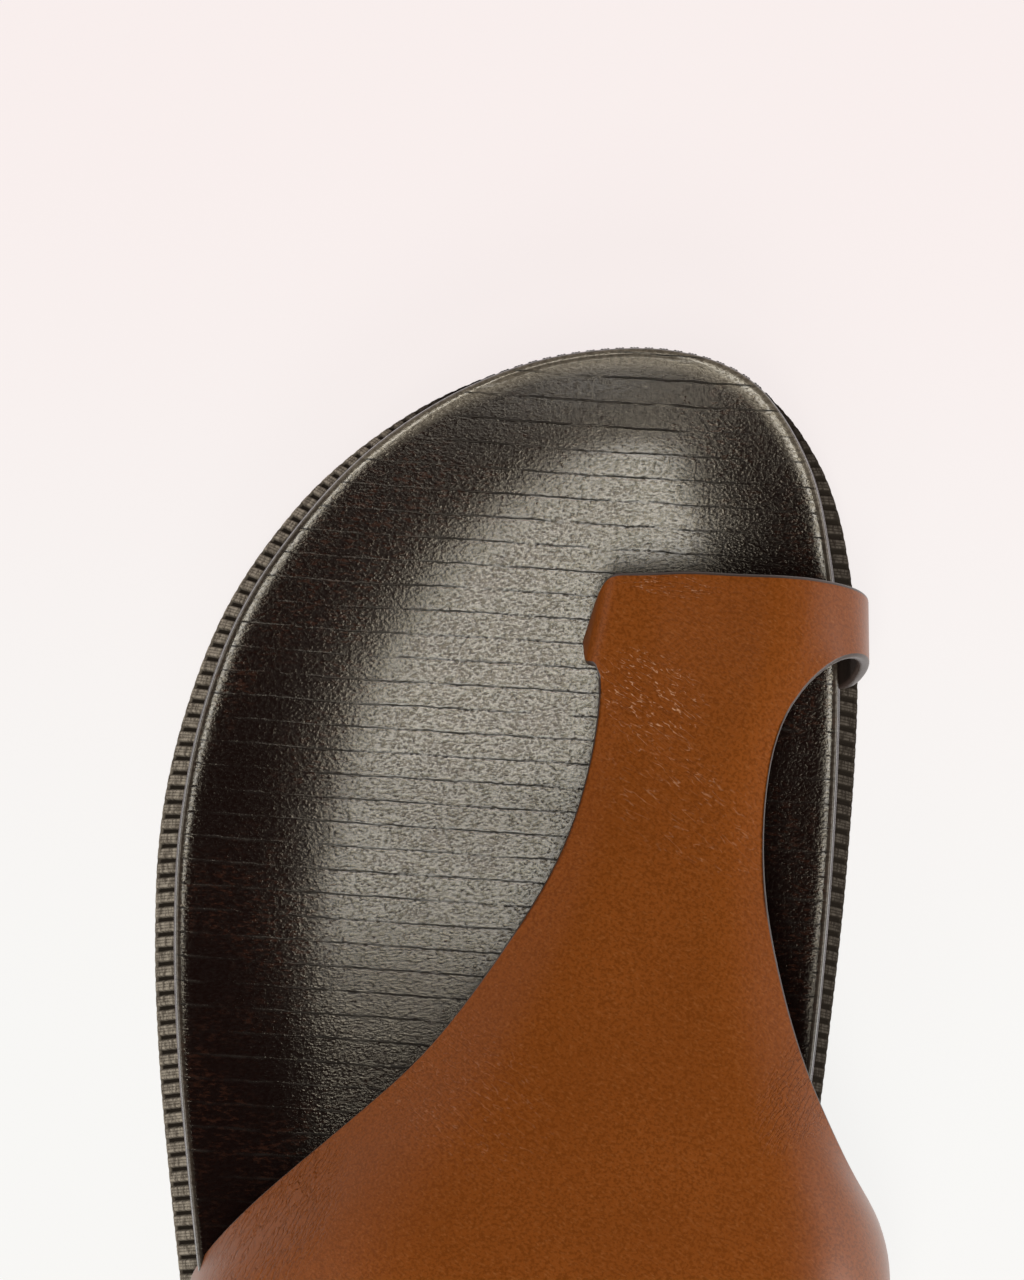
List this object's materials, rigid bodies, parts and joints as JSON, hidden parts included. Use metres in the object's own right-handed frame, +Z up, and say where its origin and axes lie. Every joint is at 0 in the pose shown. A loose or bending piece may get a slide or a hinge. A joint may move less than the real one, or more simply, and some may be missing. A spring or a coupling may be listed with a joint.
{
  "type": "toe-loop slide sandal",
  "caption": "Left leather slide with a wide instep band running forward to a big-toe loop, a dark moulded footbed and a finely ribbed rubber sole.",
  "frame": {"origin": "Middle of the outside box, on the floor that the sole stands on.", "axes": "+Y runs along the sandal to the toe, +Z is up, +X points to the inner (big-toe) side of this left shoe."},
  "size_m": [0.1074, 0.2598, 0.0807],
  "materials": {
    "sole_rubber": "dark brown, satin, ribbed sides",
    "footbed_leather": "dark brown, burnished, cross lines",
    "upper_leather": "tan, smooth, fine grain, painted edges"
  },
  "bodies": {
    "root": {"outsole": "sole_rubber", "footbed": "footbed_leather", "upper": "upper_leather"}
  },
  "joints": []
}
